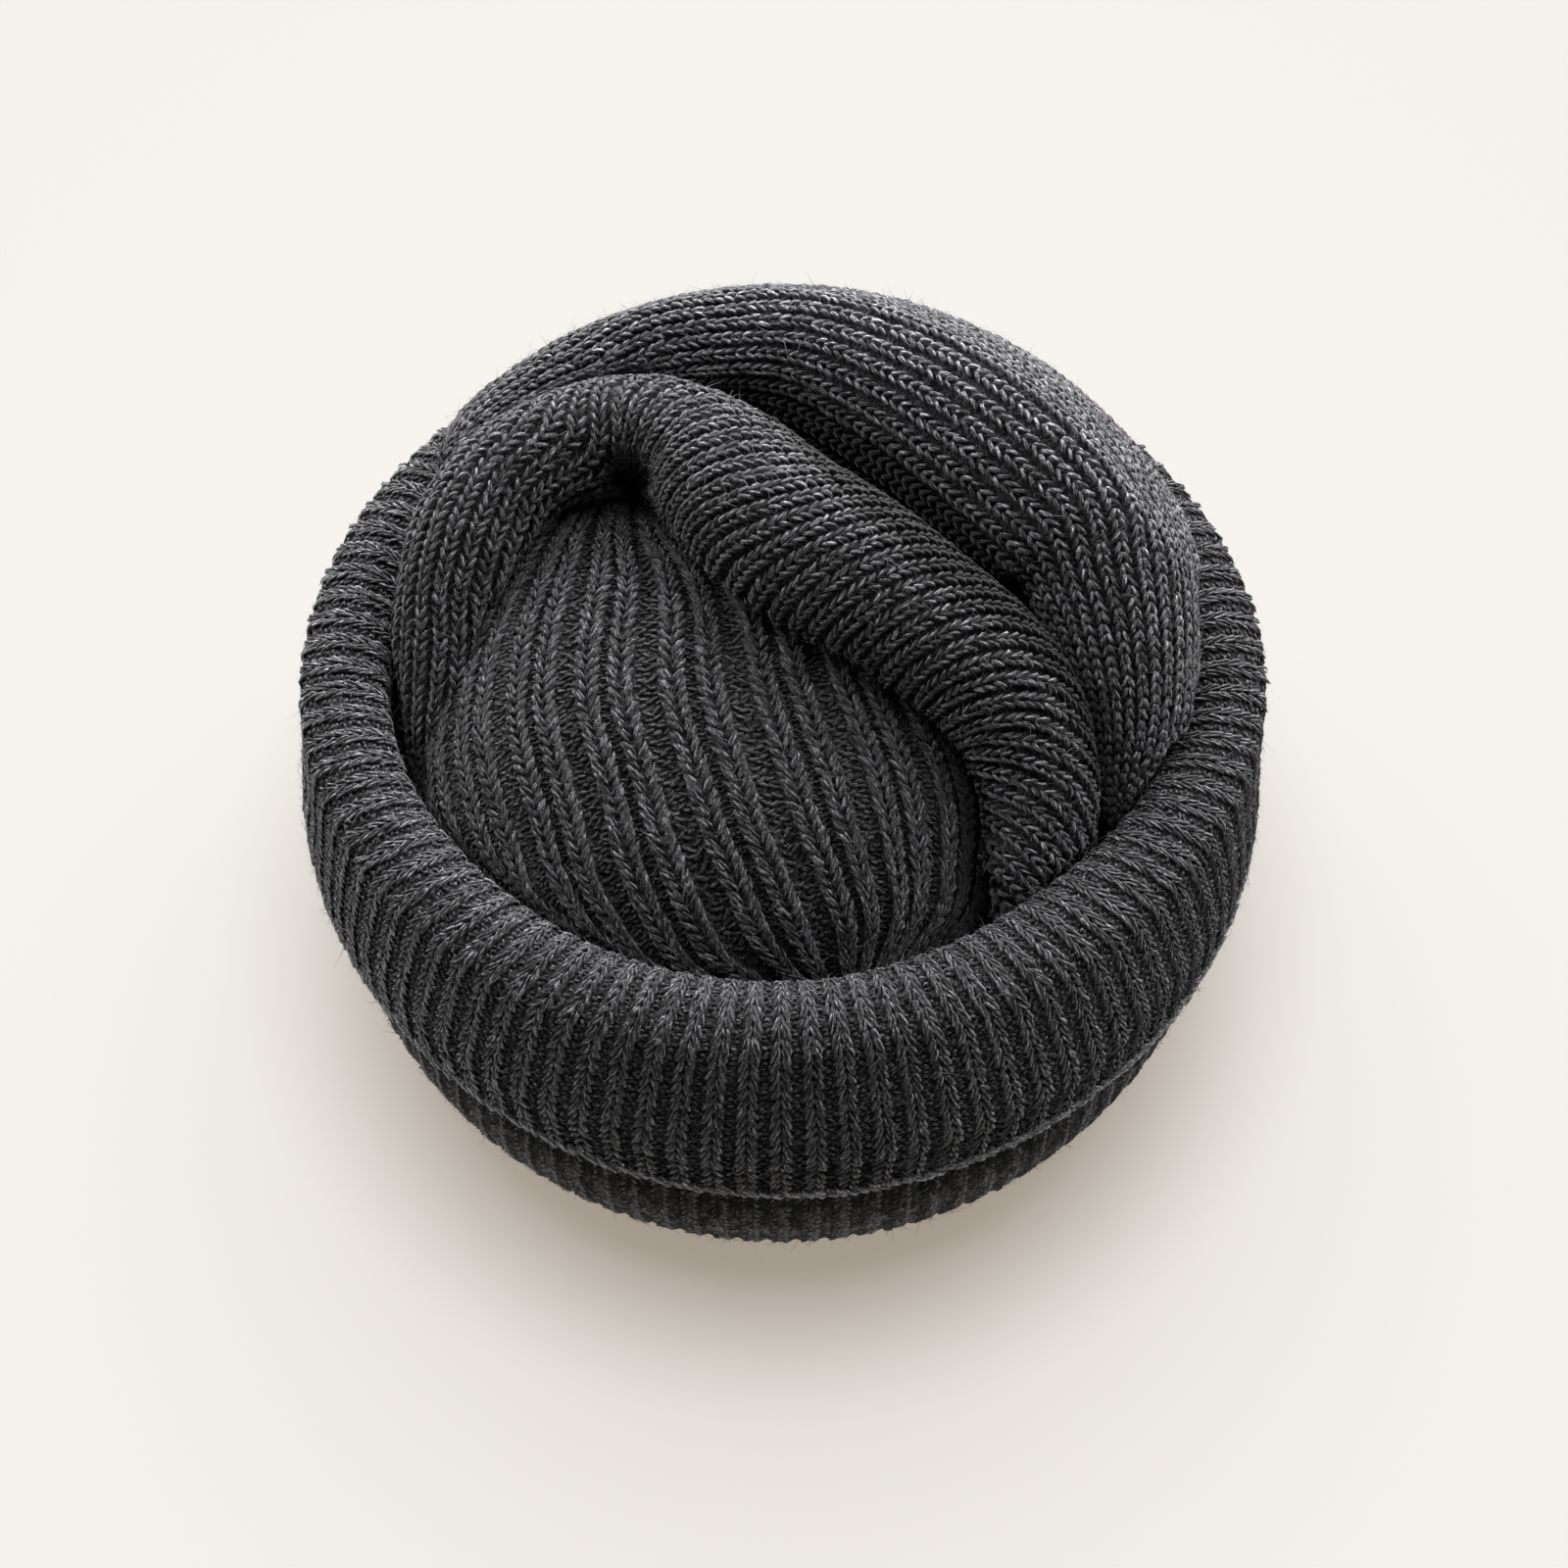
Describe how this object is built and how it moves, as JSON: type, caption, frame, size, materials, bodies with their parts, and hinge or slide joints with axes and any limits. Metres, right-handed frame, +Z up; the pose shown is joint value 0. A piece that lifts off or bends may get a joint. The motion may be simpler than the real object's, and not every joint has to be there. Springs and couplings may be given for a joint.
{
  "type": "pair of rolled socks",
  "caption": "Pair of thick rib-knit socks rolled into a ball, one cuff turned down over the roll, with the rolled cloth swelling out of its mouth",
  "frame": {"origin": "centre of the flat patch that the ball rests on", "axes": "+Z up; +X to the right and -Y towards the side where the cuff's mouth opens forwards"},
  "size_m": [0.1, 0.1, 0.0811],
  "materials": {
    "bundle": "charcoal melange rib knit",
    "cuff": "charcoal melange rib knit",
    "core": "charcoal melange rib knit",
    "middle_roll": "charcoal melange rib knit",
    "outer_roll": "charcoal melange rib knit"
  },
  "bodies": {
    "root": {"bundle": "bundle", "cuff": "cuff", "core": "core", "middle_roll": "middle_roll", "outer_roll": "outer_roll"}
  },
  "joints": []
}
